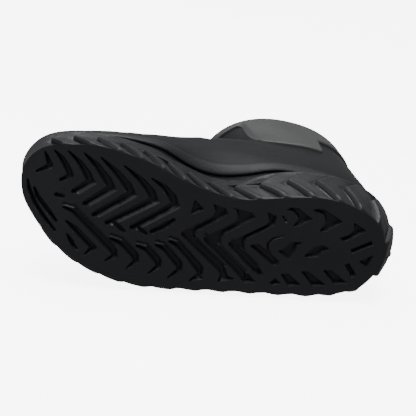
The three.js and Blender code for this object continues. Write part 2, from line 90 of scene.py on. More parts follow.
# Side wall from the ground edge up: shares of its height, flare, lug depth and bead
SIDE = table(
    ("up", "out", "dip", "bead"),
    (0, -0.05, 0, 0.35),
    (0.02, 0.04, 0.1, 0.8),
    (0.05, 0.13, 0.5, 1.0),
    (0.08, 0.22, 0.9, 1.0),
    (0.13, 0.33, 1.0, 0.95),
    (0.3, 0.68, 1.0, 0.6),
    (0.5, 0.92, 0.8, 0.4),
    (0.6, 0.95, 0.8, 0.5),
    (0.76, 0.96, 0.8, 0.5),
    (0.87, 0.96, 0.75, 0.45),
    (0.92, 1.02, 0.1, 0),
    (0.96, 1.0, 0, 0),
    (1, 0.8, 0, 0),
)

# One side lug from its hollow over its flat to its bead: place, share of the depth in the lower
# and the upper arm, share of the bead. The last row is only the end of the last stretch
LUG = table(
    ("place", "lower", "upper", "bead"),
    (0, 1.3, 1.4, 0.1),
    (0.06, 1.5, 1.2, 0),
    (0.14, 1.3, 0.9, 0),
    (0.2, 0.8, 0.72, 0),
    (0.26, 0.42, 0.62, 0),
    (0.34, 0.36, 0.5, 0.05),
    (0.46, 0.3, 0.36, 0.15),
    (0.6, 0.24, 0.22, 0.3),
    (0.7, 0.18, 0.12, 0.45),
    (0.77, 0.12, 0.06, 0.6),
    (0.82, 0.06, 0.02, 0.85),
    (0.88, 0, 0, 1),
    (0.94, 0.02, 0, 0.95),
    (0.985, 0.3, 0.7, 0.5),
    (1, 0.95, 0.9, 0.1),
)

# Upper by section from toe to collar, as in the CAD source: lower and upper end along and up,
# where up is a share of the height from the foot bed to the rim, reach across, place of the ridge,
# share of the height with the widest place, and roundness of the underside and the top
UPPER = table(
    ("low", "low_up", "top", "top_up", "inner", "outer", "ridge", "belly", "arch", "base",
     "crown"),
    (291, 0.02, 293, 0.13, 9, -5, 2, 0.5, 2.2, 2.2, 2.1),
    (286, 0, 288, 0.22, 19, -19, 1, 0.45, 2.6, 2.6, 2.1),
    (274, 0, 276, 0.3, 27.5, -34, 0, 0.4, 3, 3, 2.1),
    (255, 0, 256, 0.375, 34, -48, -2, 0.36, 3, 3.2, 2.1),
    (230, 0, 228, 0.45, 38.5, -59, -4, 0.34, 3, 3.2, 2.1),
    (200, 0, 198, 0.53, 40, -65, -6, 0.4, 2.6, 3.2, 2.1),
    (172, 0, 178, 0.615, 38.5, -64, -6, 0.48, 2.1, 3.2, 2.1),
    (145, 0, 163, 0.69, 39, -61, -6, 0.5, 2, 3, 2.1),
    (115, 0, 153, 0.75, 41, -57.5, -6, 0.5, 2.3, 3, 2.1),
    (85, 0, 147, 0.8, 42.5, -54.5, -6, 0.5, 2.9, 3, 2.1),
    (55, 0, 143.5, 0.84, 43.5, -52.5, -6, 0.5, 2.9, 2.9, 2.1),
    (27, 0.01, 141, 0.87, 44, -52, -6, 0.5, 2.6, 2.6, 2.1),
    (5, 0.06, 139.3, 0.9, 44, -52, -6, 0.5, 2.3, 2.3, 2.1),
    (-5, 0.17, 138.2, 0.925, 44, -52.5, -6, 0.5, 2.2, 2.2, 2.1),
    (-6, 0.33, 137.3, 0.947, 44.5, -53.5, -6, 0.5, 2.2, 2.2, 2.1),
    (-3, 0.51, 136.6, 0.965, 45.5, -55, -5.5, 0.5, 2.2, 2.2, 2.1),
    (0.5, 0.7, 136, 0.98, 46.5, -56.2, -5, 0.5, 2.2, 2.2, 2.15),
    (3, 0.86, 135.6, 0.99, 47, -57, -5, 0.5, 2.2, 2.2, 2.2),
    (4.5, 1, 135.3, 1, 47.5, -57.5, -5, 0.5, 2.2, 2.2, 2.2),
    (5.5, 1.14, 135, 1.14, 48, -58, -5, 0.5, 2.2, 2.2, 2.2),
)
# Row of that table that lies at the rim
RIM_ROW = 18

# Creases of the upper: which side (1 inner, -1 outer, 0 both), width, depth and
# line along and up, in millimetres. A negative depth is a ridge
CREASES = (
    (0, 6.0, 0.7, ((158, 112), (150, 98), (146, 84))),
    (0, 5.5, -0.5, ((166, 104), (160, 92), (157, 80))),
    (1, 8.0, 0.9, ((120, 78), (142, 70), (164, 67))),
    (1, 7.0, -0.4, ((112, 88), (140, 82), (166, 76))),
    (-1, 8.0, 0.8, ((118, 80), (144, 72), (170, 66))),
    (0, 5.0, 0.5, ((214, 60), (203, 50), (198, 40))),
    (0, 5.0, 0.45, ((228, 54), (219, 44), (215, 36))),
    (0, 6.0, 0.5, ((20, 92), (8, 84), (0, 72))),
)

# Tread grooves: share of the groove depth, width in millimetres at each point, and line
GROOVES = (
    (0.9, (1.5, 3.6, 4.6, 4.2, 2.6), ((286, 21.5), (283, 17), (279.5, 12), (283, 8.5), (288, 4.5))),
    (1, (1.5, 4.6, 5.4, 5.2, 3.4), ((279, 24.5), (272.5, 20), (266.5, 13.5), (263, 8.5), (269, 3))),
    (1, (1.5, 4.8, 6.2, 6.0, 4.4), ((269, 27), (258, 20), (250.5, 12.5), (247, 8), (257.5, -3.5))),
    (1, (1.5, 5.0, 6.8, 6.4, 4.8), ((257, 28.5), (246, 22), (234.5, 12), (230.5, 7), (246.5, -10.5))),
    (1, (1.5, 5.0, 6.8, 6.4, 5.0), ((244, 28.5), (231, 21), (218.5, 11.5), (214, 6), (237.5, -17.5))),
    (1, (1.5, 5.0, 6.8, 6.4, 5.0), ((225, 26.5), (209, 18), (199.5, 10.5), (195.5, 5), (226, -21.5))),
    (1, (1.2, 4.8, 6.4, 6.0, 5.0), ((202, 21.5), (190, 16.5), (182, 10), (178.5, 5), (206, -21))),
    (1, (2.0, 5.4, 6.2, 5.0, 1.4), ((262, -18), (253, -19), (215.5, -43.5), (213.5, -47.5),
     (220, -53))),
    (1, (2.0, 5.0, 5.6, 1.4), ((257, -28.5), (250, -32), (231.5, -44.5), (237, -52))),
    (0.9, (1.5, 4.0, 4.0, 1.4), ((254, -38.5), (250, -43), (247.5, -46), (243, -49))),
    (1, (2.0, 5.4, 6.4, 4.6, 1.4), ((221, -34), (210, -36), (197.5, -44.5), (196, -48), (202, -56))),
    (1, (2.0, 5.4, 6.4, 4.6, 1.4), ((199, -35.5), (190, -36.5), (179, -44.5), (177.5, -48),
     (184, -56.5))),
    (1, (2.0, 5.4, 6.4, 4.6, 1.4), ((184.5, -31.5), (177, -32.5), (162, -43.5), (160.5, -47.5),
     (168, -56.5))),
    (1, (2.0, 5.4, 6.6, 4.6, 1.4), ((175, -26), (167, -27.5), (145, -43.5), (143.5, -47.5),
     (150, -55.5))),
    (0.9, (2.0, 4.0, 4.4, 3.0), ((287, -8.8), (282.8, -15.3), (275.4, -21.3), (264.5, -30.5))),
    (0.9, (1.8, 3.4, 3.8, 3.6, 2.4), ((293.3, -4), (290.6, -11), (283.4, -21), (274.6, -29.5),
     (263.5, -38.4))),
    (1, (3.4, 5.4, 5.6, 4.6), ((176, -8), (180, -12), (184, -16), (190, -21))),
    (0.6, (1.6, 2.2, 2.6, 2.2, 1.4), ((86.5, -1.2), (94.6, -5.4), (97.6, -10.6), (96.5, -15),
     (93, -18.2))),
    (1, (5.0, 6.2, 6.6, 4.8, 2.2), ((163, -19), (156, -22.8), (127.5, -40), (125, -45), (127.5, -51))),
    (1, (5.0, 6.2, 6.6, 4.0), ((145.5, -18.8), (137.5, -23), (109.5, -41), (107, -46))),
    (1, (5.0, 6.2, 6.2, 3.6), ((124, -18.8), (116.5, -23.6), (100.5, -34), (96, -36.6))),
    (0.9, (4.4, 4.4), ((269.3, -9.5), (265, -9.5))),
)

# Narrow ledges beside the long grooves on the outer and on the inner side: share of the groove
# depth, width, and lines
LEDGES = (
    (0.32, 1.5, (
        ((262, -14.8), (253.5, -15), (216, -39.8)),
        ((221, -30.6), (211, -32), (197, -41.8)),
        ((199, -32), (191, -32.5), (178, -42.2)),
        ((184.5, -28), (178, -28.5), (161, -41.2)),
        ((175, -22.5), (168, -23.5), (144, -41.2)),
        ((164, -14.5), (156, -18.5), (126, -36.4)),
        ((148.5, -14), (137.5, -19), (108, -37.6)),
        ((126, -14.5), (116.5, -20), (99.5, -31)),
    )),
    (0.3, 1.4, (
        ((243.6, 7.6), (254, -3.4)),
        ((227, 6), (242.8, -10.4)),
        ((210.4, 5), (233.8, -17.6)),
        ((192, 3.8), (222.6, -22)),
        ((175, 3.8), (202.6, -21.6)),
    )),
)

# Pockets with flat floors: share of the groove depth, and outline
POCKETS = (
    (0.85, ((164.8, 12.4), (164.8, -1.6), (154.6, 6))),
    (0.7, ((227, -19), (222, -17.5), (211, -24), (209, -28), (215, -26.5))),
    (0.7, ((206, -18.5), (201, -18.5), (193, -22.5), (192, -26), (199, -24.5))),
    (0.95, ((155, 12.8), (149, 11.2), (146, 6), (146.8, 2), (157.4, -7.4), (168, -17), (166, -20.5),
     (154, -21), (156.6, -15), (155, -12.2), (141.4, -0.2), (135.4, 6.5), (139, 10.8))),
    (0.95, ((136.5, 12.6), (130.4, 11), (127.5, 6), (128.2, 1.6), (138.3, -7.6), (149.5, -17),
     (148, -20), (133.5, -21.2), (134.8, -15), (133.4, -10), (124.6, -2.6), (112.6, 8.8), (118, 12))),
    (0.95, ((112.8, 16.4), (105.2, 14.2), (102, 8), (103.6, 4.4), (116.1, -6.2), (129, -16.8),
     (127, -20), (113.5, -20.8), (116.2, -14), (115.4, -10.2), (106.6, -2.8), (96.6, 6), (97, 13.4))),
    (0.9, ((151.3, -55.6), (143, -42), (145, -46), (139.5, -51.6))),
    (0.9, ((127.1, -50.2), (125.5, -38), (121, -44.2), (112.4, -45.8))),
    (0.9, ((106.6, -47.2), (106.5, -38.5), (97, -44.6))),
    (0.95, ((112, -15.4), (105.4, -12.2), (96, -16.6), (84.2, -23), (84.6, -27), (88.6, -28))),
    (0.9, ((88.8, -14.9), (85.1, -13.2), (79.2, -4.9), (69.2, -3), (74, -7), (74.1, -13.4),
     (76.3, -20.5), (79.3, -19.2))),
    (0.9, ((66.4, -14.6), (60.8, -5.4), (54.8, -2), (47, -3.4), (52.7, -8.6), (54.9, -12.8),
     (62.7, -15.4))),
    (0.95, ((92, 20.4), (87.9, 23.3), (83, 24), (68.2, 17.4), (77, 9.5), (82.6, 7.4), (80, 15),
     (85, 19.6))),
    (0.95, ((71.6, 24.3), (66.5, 27.2), (61.2, 27.2), (43.4, 20.7), (54.8, 9.2), (60.9, 7.9),
     (57.3, 16.8), (60.9, 22.6))),
    (0.95, ((35.4, 22.2), (22.4, 17.6), (38, 4.2), (42.8, 6.8), (35.4, 11.6), (33.4, 16.9))),
    (0.9, ((31, -0.6), (28.8, -4), (13.6, 7), (16.6, 10.2))),
    (0.85, ((21, -9.2), (10.8, -1), (12.4, -13.4))),
    (0.95, ((31.6, -14.2), (28.3, -12.2), (18.8, -21.4), (23.2, -23.8))),
    (1, ((47.8, -22.8), (40.9, -21.2), (24.4, -29.2), (35, -32.8))),
    (1, ((65, -27.4), (58.9, -26.2), (40.8, -34.6), (52.1, -38.4))),
    (1, ((80.2, -33.5), (74.3, -31.4), (60.8, -39), (71.2, -42.6))),
    (0.9, ((87, -43), (83.6, -37.6), (77.2, -41.2), (83.4, -44.4))),
    (0.5, ((92.3, 15.5), (93.7, 13.9), (88.9, 9.2), (87.2, 10.6))),
)

# Heights of the sole's rings as shares of its side wall
RING_HEIGHTS = (
    0, 0.02, 0.045, 0.08, 0.12, 0.17, 0.23, 0.29, 0.35, 0.4, 0.44, 0.47, 0.5, 0.53, 0.57, 0.62,
    0.68, 0.74, 0.8, 0.85, 0.89, 0.915, 0.94, 0.97, 0.99, 1,
)

# Insole from the middle of its underside round its edge to the middle of its top: share of the
# way to the wall and of the thickness
INSOLE_PROFILE = (
    (0, 0.0), (0.5, 0.0), (0.9, 0.0), (0.97, 0.25), (0.975, 0.6), (0.96, 0.9), (0.94, 1.0),
    (0.8, 0.94), (0.5, 0.88), (0, 0.86),
)

# Millimetres in a metre
MILLIMETRES = 1000

# Distance in metres under which two points of a mesh become one
MERGE = 0.00002

# The record's mount, the smooth centre of the heel, in the shoe's frame in metres
MOUNT_AT = (0.04, -0.004, 0)

# Camera fitted to the photograph: place in the shoe's frame in metres, directions ahead and to
# the right, focal length in millimetres, and shift
CAMERA_AT = (0.438148, 0.417402, -1.197759)
CAMERA_AHEAD = (-0.222003, -0.319098, 0.921353)
CAMERA_RIGHT = (-0.95256, 0.272742, -0.135062)
FOCAL_LENGTH = 144
CAMERA_SHIFT = (-0.0048, 0.0168)

# Rubbers: roughness, strength of the grain, change of tone in the bloom, coat and shine
RUBBERS = {
    "sole": (0.5, 0.35, 0.12, 0.03, 0.32),
    "upper": (0.5, 0.18, 0.1, 0.03, 0.15),
    "collar": (0.5, 0.18, 0.1, 0.04, 0.3),
    "rand": (0.48, 0.18, 0.1, 0.04, 0.25),
}

# Soft lights: name, place and aim in metres, edge in metres, power in watts
LIGHTS = (
    ("key", (-0.1, 0.3, 1.6), (0, 0, 0.05), 1.5, 28),
    ("front", (-0.1, -0.5, 1.5), (0, 0, 0.05), 0.9, 26),
    ("fill", (-1.7, -0.9, 0.5), (-0.1, 0, 0.05), 0.8, 9),
)


# Curves

def smooth(places, values, at):
    """Smooth curve through places and values, read at other places."""
    slopes = np.diff(values) / np.diff(places)
    tangents = np.concatenate([slopes[:1], (slopes[:-1] + slopes[1:]) / 2, slopes[-1:]])
    at = np.clip(at, places[0], places[-1])
    i = np.clip(np.searchsorted(places, at, side="right") - 1, 0, len(places) - 2)
    span = places[i + 1] - places[i]
    t = (at - places[i]) / span
    blend = ramp(t)
    lift = tangents[i] * t * (1 - t) ** 2 - tangents[i + 1] * t * t * (1 - t)
    return values[i] * (1 - blend) + values[i + 1] * blend + lift * span


def ramp(t):
    """Soft step from 0 to 1."""
    t = np.clip(t, 0, 1)
    return t * t * (3 - 2 * t)


# Distances in a plane

def to_line(x, y, line, wide=None):
    """Distance of points to an open line, or to the edge of a groove with a width at each point."""
    best = np.full(np.shape(x), np.inf)
    halves = [w / 2 for w in wide or [0] * len(line)]
    for (ax, ay), (bx, by), a, b in zip(line[:-1], line[1:], halves[:-1], halves[1:]):
        dx, dy = bx - ax, by - ay
        t = np.clip(((x - ax) * dx + (y - ay) * dy) / (dx * dx + dy * dy), 0, 1)
        best = np.minimum(best, np.hypot(x - ax - t * dx, y - ay - t * dy) - a - (b - a) * t)
    return best


def to_edge(x, y, edge):
    """Distance of points to a closed edge, negative inside it."""
    inside = np.zeros(np.shape(x), dtype=bool)
    closed = list(edge) + [edge[0]]
    for (ax, ay), (bx, by) in zip(closed[:-1], closed[1:]):
        if ay == by:
            continue
        crossing = (ay > y) != (by > y)
        inside ^= crossing & (x < (bx - ax) * (y - ay) / (by - ay) + ax)
    away = to_line(x, y, closed)
    return np.where(inside, -away, away)


def rounded(corners, steps=6):
    """Open line through corners, each given by its place and the radius that rounds it."""
    most = 0.49
    corners = np.array(corners, dtype=float)
    places = corners[:, :2]
    points = [places[0]]
    for before, corner, after, radius in zip(places, places[1:], places[2:], corners[1:, 2]):
        back, ahead = before - corner, after - corner
        reach = min(radius, most * np.linalg.norm(back), most * np.linalg.norm(ahead))
        start = corner + back / np.linalg.norm(back) * reach
        end = corner + ahead / np.linalg.norm(ahead) * reach
        for t in np.linspace(0, 1, steps):
            points.append(start * (1 - t) ** 2 + 2 * corner * t * (1 - t) + end * t * t)
    points.append(places[-1])
    return np.array(points)


def crossings(xs, ys):
    """Points where lines at two sets of places cross, as two flat arrays."""
    return (v.ravel() for v in np.meshgrid(xs, ys, indexing="ij"))


def spaced(line, step):
    """Points at even steps along a line, its corners kept."""
    points = []
    for a, b in zip(line[:-1], line[1:]):
        count = max(1, int(round(np.linalg.norm(b - a) / step)))
        points.extend(a + (b - a) * k / count for k in range(count))
    points.append(line[-1])
    return np.array(points)


class Shape:
    """The boot's forms, worked out from its sizes."""

    # The tables' parts of the sole's length and of the ball's width
    stations = 300
    width_parts = 104
    # Points on the sole's outline from one station to the next
    curve_steps = 60
    # Upper: points round a section, and step from section to section in rows of its table
    loop_points = 168
    section_step = 0.15
    # Stations of the two ends of the line that runs through the middle of the foot
    spine_ends = (52, 246)
    # Share of the sole's length from the heel where the tread starts to rise
    spring_start = 0.72

    # Side lugs: part of a lug that is cut off at the heel, extra length of the lugs there, share
    # of each side (inner, outer) where they end, and over which they fade
    first_lug = 0.25
    heel_growth = 0.22
    lug_ends = (0.925, 0.85)
    lug_fade = 0.012
    # Chevrons: slopes of the upper and the lower arm, mean height of the wall against the heel's,
    # shares of a side over which they start at the heel and stop at the toe. The lower arm's
    # section turns into the upper one's between two heights of the wall
    arm_slopes = (1.3, 1.15)
    mean_wall = 0.75
    start_share = 0.25
    stop_share = 0.2
    knee_start = 0.38
    knee_run = 0.24

    # Tread in millimetres: run of a groove wall and of a ledge's edge, and spacing of the points,
    # of which only every fourth row and column stays on the flat
    wall_draft = 1.6
    ledge_draft = 1.4
    tread_step = 0.62
    coarse = 4
    # Margins in millimetres: bare rim, and fine points beside grooves and ledges
    rim_margin = 0.9
    groove_margin = 1.3
    ledge_margin = 0.9
    # Room round a groove in which distances to it are worked out, and what stands for the rest
    near_room = 6
    far = 50.0
    # Part of a step within which a point is laid on a groove's edge, and half the span in which
    # the way to the edge is found
    snap = 0.52
    slope_span = 0.02

    def __init__(self, sizes):
        """Takes the lengths in millimetres and works out what all the pieces share."""
        for name in sizes.lengths():
            setattr(self, name, getattr(sizes, name) * MILLIMETRES)
        self.along_unit = self.sole_length / self.stations
        self.across_unit = self.ball_width / self.width_parts
        self.make_outline()
        self.outer = self.form(0)
        self.outer_tree = self.tree(self.outer)

    # Heights by place along the standing boot

    def tread_at(self, x):
        """Height of the tread, which rises to the toe."""
        lift = np.clip((x / self.sole_length - self.spring_start) / (1 - self.spring_start), 0, None)
        return self.toe_spring * lift ** 2

    def sole_share(self, name, x):
        """One column of the sole's table along the foot."""
        return smooth(SOLE["along"], SOLE[name], x / self.along_unit)

    def side_at(self, x):
        """Height of the top of the side wall."""
        return self.tread_at(x) + self.side_height * self.sole_share("side", x)

    def bed_at(self, x):
        """Height of the foot bed, level beyond the ends of the sole."""
        x = np.clip(x, 0, self.sole_length)
        return self.tread_at(x) + self.heel_rise * self.sole_share("bed", x)

    def bed_middle(self, shares, over):
        """Points over the middle of the foot bed for places round the foot."""
        x, y, _ = self.spine(shares)
        return np.stack([x, y, self.bed_at(x) + over], axis=1)

    # Outline of the sole

    def make_outline(self):
        """Closed curve through the stations: inner edge from heel to toe, outer edge back."""
        inner, outer = (
            np.stack([SOLE["along"] * self.along_unit, SOLE[edge] * self.across_unit,
                      SOLE[edge + "_flare"] * self.side_flare], axis=1)
            for edge in ("inner", "outer"))
        knots = np.concatenate([inner, outer[-2:0:-1]])
        parts = []
        t = np.linspace(0, 1, self.curve_steps, endpoint=False)[:, None]
        for i in range(len(knots)):
            p0, p1, p2, p3 = (knots[(i + k) % len(knots)] for k in (-1, 0, 1, 2))
            d0, d1, d2 = (np.sqrt(np.linalg.norm(b - a)) for a, b in ((p0, p1), (p1, p2), (p2, p3)))
            m1 = ((p1 - p0) / d0 - (p2 - p0) / (d0 + d1) + (p2 - p1) / d1) * d1
            m2 = ((p2 - p1) / d1 - (p3 - p1) / (d1 + d2) + (p3 - p2) / d2) * d1
            blend = ramp(t)
            parts.append(p1 * (1 - blend) + p2 * blend + m1 * t * (1 - t) ** 2 - m2 * t * t * (1 - t))
        curve = np.concatenate(parts)
        ahead = np.roll(curve, -1, axis=0)
        lengths = np.linalg.norm(ahead - curve, axis=1)
        self.outline_length = lengths.sum()
        self.shares = np.concatenate([[0], np.cumsum(lengths)[:-1]]) / self.outline_length
        tangent = ahead - np.roll(curve, 1, axis=0)
        size = np.hypot(tangent[:, 0], tangent[:, 1])
        out = np.stack([-tangent[:, 1] / size, tangent[:, 0] / size], axis=1)
        self.outline = np.concatenate([curve, out], axis=1)
        self.toe_share = self.shares[np.argmax(curve[:, 0])]

    def on_outline(self, share):
        """x, y, flare, outward x and outward y of the outline at shares of its length."""
        return [np.interp(share, self.shares, self.outline[:, k], period=1) for k in range(5)]

    # Side wall of the sole

    def side_columns(self):
        """Side and count of lugs from the heel for each place round the sole."""
        self.lugs = round(self.outline_length / 2 / self.lug_pitch)
        counts = (np.arange(self.lugs)[:, None] + LUG["place"][None, :-1]).ravel()
        back = np.append(counts[1:], self.lugs)[::-1]
        return np.repeat([1, -1], [len(counts), len(back)]), np.concatenate([counts, back])

    def side_ring(self, up):
        """One ring of the side wall at a share of its height, with its chevron lugs."""
        side, count = self.side_columns()
        place = count - np.floor(count + 1e-9)
        even = np.clip((count - self.first_lug) / (self.lugs - self.first_lug), 0, 1)
        t = even + self.heel_growth * even * (1 - even)
        rise = (up - 0.5) * self.side_height * self.mean_wall
        slope = self.arm_slopes[0] if rise > 0 else -self.arm_slopes[1]
        slant = slope * rise / self.outline_length * 2
        ease = np.minimum(1, np.minimum(t / self.start_share, (1 - t) / self.stop_share))
        along = t - slant * ease
        share = np.where(side > 0, along * self.toe_share, 1 - along * (1 - self.toe_share))
        x, y, flare, out_x, out_y = self.on_outline(share)
        knee = float(ramp((up - self.knee_start) / self.knee_run))
        lug = np.interp(place, LUG["place"], LUG["lower"] * (1 - knee) + LUG["upper"] * knee)
        dip, lean, bead = (np.interp(up, SIDE["up"], SIDE[name]) for name in ("dip", "out", "bead"))
        bead = np.interp(place, LUG["place"], LUG["bead"]) * bead
        end = np.where(side > 0, *self.lug_ends)
        lugged = np.where(t <= 0, 0, 1) * ramp((end - along) / self.lug_fade + 0.5)
        out = flare * lean + (self.lug_proud * bead - self.lug_depth * dip * lug) * lugged
        height = self.tread_at(x) + up * (self.side_at(x) - self.tread_at(x))
        return np.stack([x + out_x * out, y + out_y * out, height], axis=1)

    # Forms of the upper

    def section(self, places):
        """Section values of the upper at places between its rows."""
        order = np.arange(len(UPPER["low"]), dtype=float)
        values = {name: smooth(order, rows, places)[:, None] for name, rows in UPPER.items()}
        bed = self.bed_at(values["low"] * self.along_unit)
        for end in ("low", "top"):
            up = bed + values[end + "_up"] * (self.rim_height - bed)
            values[end] = np.hstack([values[end] * self.along_unit, up])
        return values

    def places(self):
        """Places in the upper's table from the toe to the rim."""
        return np.arange(0, RIM_ROW + 0.5 * self.section_step, self.section_step)

    def form(self, offset, places=None):
        """Grid of points of the upper's form grown by an offset: sections by points round."""
        places = self.places() if places is None else places
        values = self.section(places)
        low, top = values["low"], values["top"]
        profile = np.concatenate([low[::-1], top])
        run = np.gradient(profile, axis=0)
        out = np.stack([run[:, 1], -run[:, 0]], axis=1)
        out /= np.linalg.norm(out, axis=1)[:, None]
        low = low + offset * out[:len(places)][::-1]
        top = top + offset * out[len(places):]
        reach_in = values["inner"] * self.across_unit + offset
        reach_out = values["outer"] * self.across_unit - offset
        middle = (reach_in + reach_out) / 2
        half = (reach_in - reach_out) / 2
        angle = 2 * math.pi * (np.arange(self.loop_points) + 0.5) / self.loop_points
        sideways, upright = np.sin(angle)[None, :], -np.cos(angle)[None, :]
        low_round = np.where(sideways > 0, values["arch"], values["base"])
        power = 2 / np.where(upright < 0, low_round, values["crown"])
        wide = np.sign(sideways) * np.abs(sideways) ** power
        high = np.sign(upright) * np.abs(upright) ** power
        belly = values["belly"]
        t = np.where(high < 0, belly * (1 + high), belly + (1 - belly) * high)
        shift = np.clip(high, 0, None) * (values["ridge"] * self.across_unit - middle)
        x = low[:, :1] + (top[:, :1] - low[:, :1]) * t
        z = low[:, 1:] + (top[:, 1:] - low[:, 1:]) * t
        return np.stack([x, middle + shift + half * wide, z], axis=2)

    def tree(self, grid):
        """Search tree of a grid that is closed round its columns."""
        rows, columns = grid.shape[:2]
        points = grid.reshape(-1, 3).tolist() + [grid[0].mean(axis=0).tolist()]
        toe = [(c, (c + 1) % columns, rows * columns) for c in range(columns)]
        return BVHTree.FromPolygons(points, ring_faces(rows, columns) + toe)

    def spine(self, share):
        """Inner point and outward direction for a place round the foot."""
        x, y, _, _, _ = self.on_outline(share)
        first, last = (end * self.along_unit for end in self.spine_ends)
        at = np.clip(x, first, last)
        middle = (self.sole_share("inner", at) + self.sole_share("outer", at)) / 2 * self.across_unit
        out = np.stack([x - at, y - middle], axis=1)
        out /= np.linalg.norm(out, axis=1)[:, None]
        return at, middle, out

    def around(self, tree, shares, height_of):
        """Ring of points where a form is met from inside, at heights that follow the foot."""
        x0, y0, out = self.spine(shares)
        ring = []
        outline_x = self.on_outline(shares)[0]
        heights = height_of(np.clip(outline_x, 0, self.sole_length))
        for x, y, (dx, dy), z in zip(x0, y0, out, heights):
            hit = tree.ray_cast(Vector((x, y, z)), Vector((dx, dy, 0)))[0]
            if hit is None:
                raise ValueError("the upper has no wall at height %.1f mm" % z)
            ring.append(tuple(hit))
        return np.array(ring)

    # Tread

    def scaled(self, line):
        """A table's line in millimetres."""
        return [(a * self.along_unit, b * self.across_unit) for a, b in line]

    def ledges(self, x, y):
        """Distance of points to each ledge, and its share of the depth."""
        for deep, wide, lines in LEDGES:
            for line in lines:
                yield to_line(x, y, self.scaled(line)) - wide / 2, deep

    def cuts(self, x, y):
        """Points near each groove and pocket, their distance to it, and its share of the depth."""
        made = [(deep, wide, self.scaled(line)) for deep, wide, line in GROOVES]
        made += [(deep, None, self.scaled(edge)) for deep, edge in POCKETS]
        for deep, wide, points in made:
            low = np.min(points, axis=0) - self.near_room
            high = np.max(points, axis=0) + self.near_room
            near = (x > low[0]) & (x < high[0]) & (y > low[1]) & (y < high[1])
            at = x[near], y[near]
            yield near, to_line(*at, points, wide) if wide else to_edge(*at, points), deep

    def edge_distance(self, x, y):
        """Distance to the nearest edge of a groove or pocket, negative inside."""
        best = np.full(x.shape, self.far)
        for near, away, _ in self.cuts(x, y):
            best[near] = np.minimum(best[near], away)
        return best

    def tread_cut(self, x, y):
        """Depth of the tread's pattern in millimetres."""
        depth = np.zeros(x.shape)
        for away, deep in self.ledges(x, y):
            depth = np.maximum(depth, ramp(0.5 - away / self.ledge_draft) * deep * self.groove_depth)
        for near, away, deep in self.cuts(x, y):
            cut = np.clip(-away / self.wall_draft, 0, 1) * deep * self.groove_depth
            depth[near] = np.maximum(depth[near], cut)
        return depth

    def tread_points(self, rim):
        """Points of the tread in plan: fine along the groove walls and laid on their edges."""
        step = self.tread_step
        xs = np.arange(rim[:, 0].min() + step, rim[:, 0].max(), step)
        ys = np.arange(rim[:, 1].min() + step, rim[:, 1].max(), step)
        x, y = crossings(xs, ys)
        i, j = crossings(np.arange(len(xs)), np.arange(len(ys)))
        inside = to_edge(x, y, rim[::4].tolist()) < -self.rim_margin
        x, y, i, j = x[inside], y[inside], i[inside], j[inside]
        away = self.edge_distance(x, y)
        keep = (away > -self.wall_draft - self.groove_margin) & (away < self.groove_margin)
        for ledge, _ in self.ledges(x, y):
            keep |= ledge < self.ledge_margin
        keep |= (i % self.coarse == 0) & (j % self.coarse == 0)
        x, y, away = x[keep], y[keep], away[keep]
        small = self.slope_span
        slope_x = (self.edge_distance(x + small, y) - self.edge_distance(x - small, y)) / (2 * small)
        slope_y = (self.edge_distance(x, y + small) - self.edge_distance(x, y - small)) / (2 * small)
        for level in (0.0, -self.wall_draft):
            near = np.abs(away - level) < self.snap * step
            x = np.where(near, x - (away - level) * slope_x, x)
            y = np.where(near, y - (away - level) * slope_y, y)
        return np.stack([x, y], axis=1)


# Mesh building

def ring_faces(rows, columns):
    """Quads between rings of equally many points."""
    return [
        (r * columns + c, r * columns + (c + 1) % columns,
         (r + 1) * columns + (c + 1) % columns, (r + 1) * columns + c)
        for r in range(rows - 1) for c in range(columns)
    ]


def filled(border, points):
    """Triangles inside a closed border, through the points in it."""
    verts = [tuple(p) for p in border] + [tuple(p) for p in points]
    found = delaunay_2d_cdt([Vector(v) for v in verts], [], [list(range(len(border)))], 1, 1e-4)
    if len(found[2]) < len(points):
        raise RuntimeError(f"only {len(found[2])} faces fill a border with {len(points)} points in it")
    return np.array([tuple(v) for v in found[0]]), [tuple(face) for face in found[2]]


def normals_of(grid):
    """Outward directions of a grid that is closed round its columns."""
    across = np.roll(grid, -1, axis=1) - np.roll(grid, 1, axis=1)
    along = np.gradient(grid, axis=0)
    normal = np.cross(along, across)
    normal /= np.maximum(np.linalg.norm(normal, axis=2), 1e-9)[:, :, None]
    middle = grid.mean(axis=1)[:, None, :]
    sign = np.sign(((grid - middle) * normal).sum(axis=2).mean())
    return normal * (sign if sign else 1)


def shoe_to_world():
    """Turn and shift from the shoe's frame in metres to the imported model."""
    mount = frame["record"]["mounts"][0]
    up = -Vector(mount["axis"]).normalized()
    ahead = -Vector((up.z, 0, -up.x)).normalized()
    side = up.cross(ahead)
    turn = Matrix((ahead, side, up)).transposed()
    return turn, Vector(mount["pos_m"]) - turn @ Vector(MOUNT_AT)


def add_piece(name, points, faces, material, slot, replaced=None, flat_above=None):
    """Object of shoe-frame points in millimetres that rides on the boot."""
    turn, origin = shoe_to_world()
    world = np.asarray(points) / MILLIMETRES @ np.array(turn).T + np.array(origin)
    mesh = bpy.data.meshes.new(name)
    mesh.from_pydata(world.tolist(), [], faces)
    mesh.validate()
    work = bmesh.new()
    work.from_mesh(mesh)
    bmesh.ops.remove_doubles(work, verts=work.verts, dist=MERGE)
    bmesh.ops.recalc_face_normals(work, faces=work.faces)
    work.to_mesh(mesh)
    work.free()
    mesh.shade_smooth()
    if flat_above is not None:
        mesh.set_sharp_from_angle(angle=math.radians(flat_above))
    piece = bpy.data.objects.new(name, mesh)
    bpy.context.scene.collection.objects.link(piece)
    piece.data.materials.append(material)
    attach(piece, "root")
    if replaced:
        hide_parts(replaced)
    return piece


def add_rings(name, rings, *rest):
    """Piece laid through rings of points."""
    return add_piece(name, np.concatenate(rings), ring_faces(len(rings), len(rings[0])), *rest)


# Materials

def set_inputs(node, values):
    """Gives a node's own sockets their values."""
    for name, value in values.items():
        node.inputs[name].default_value = value


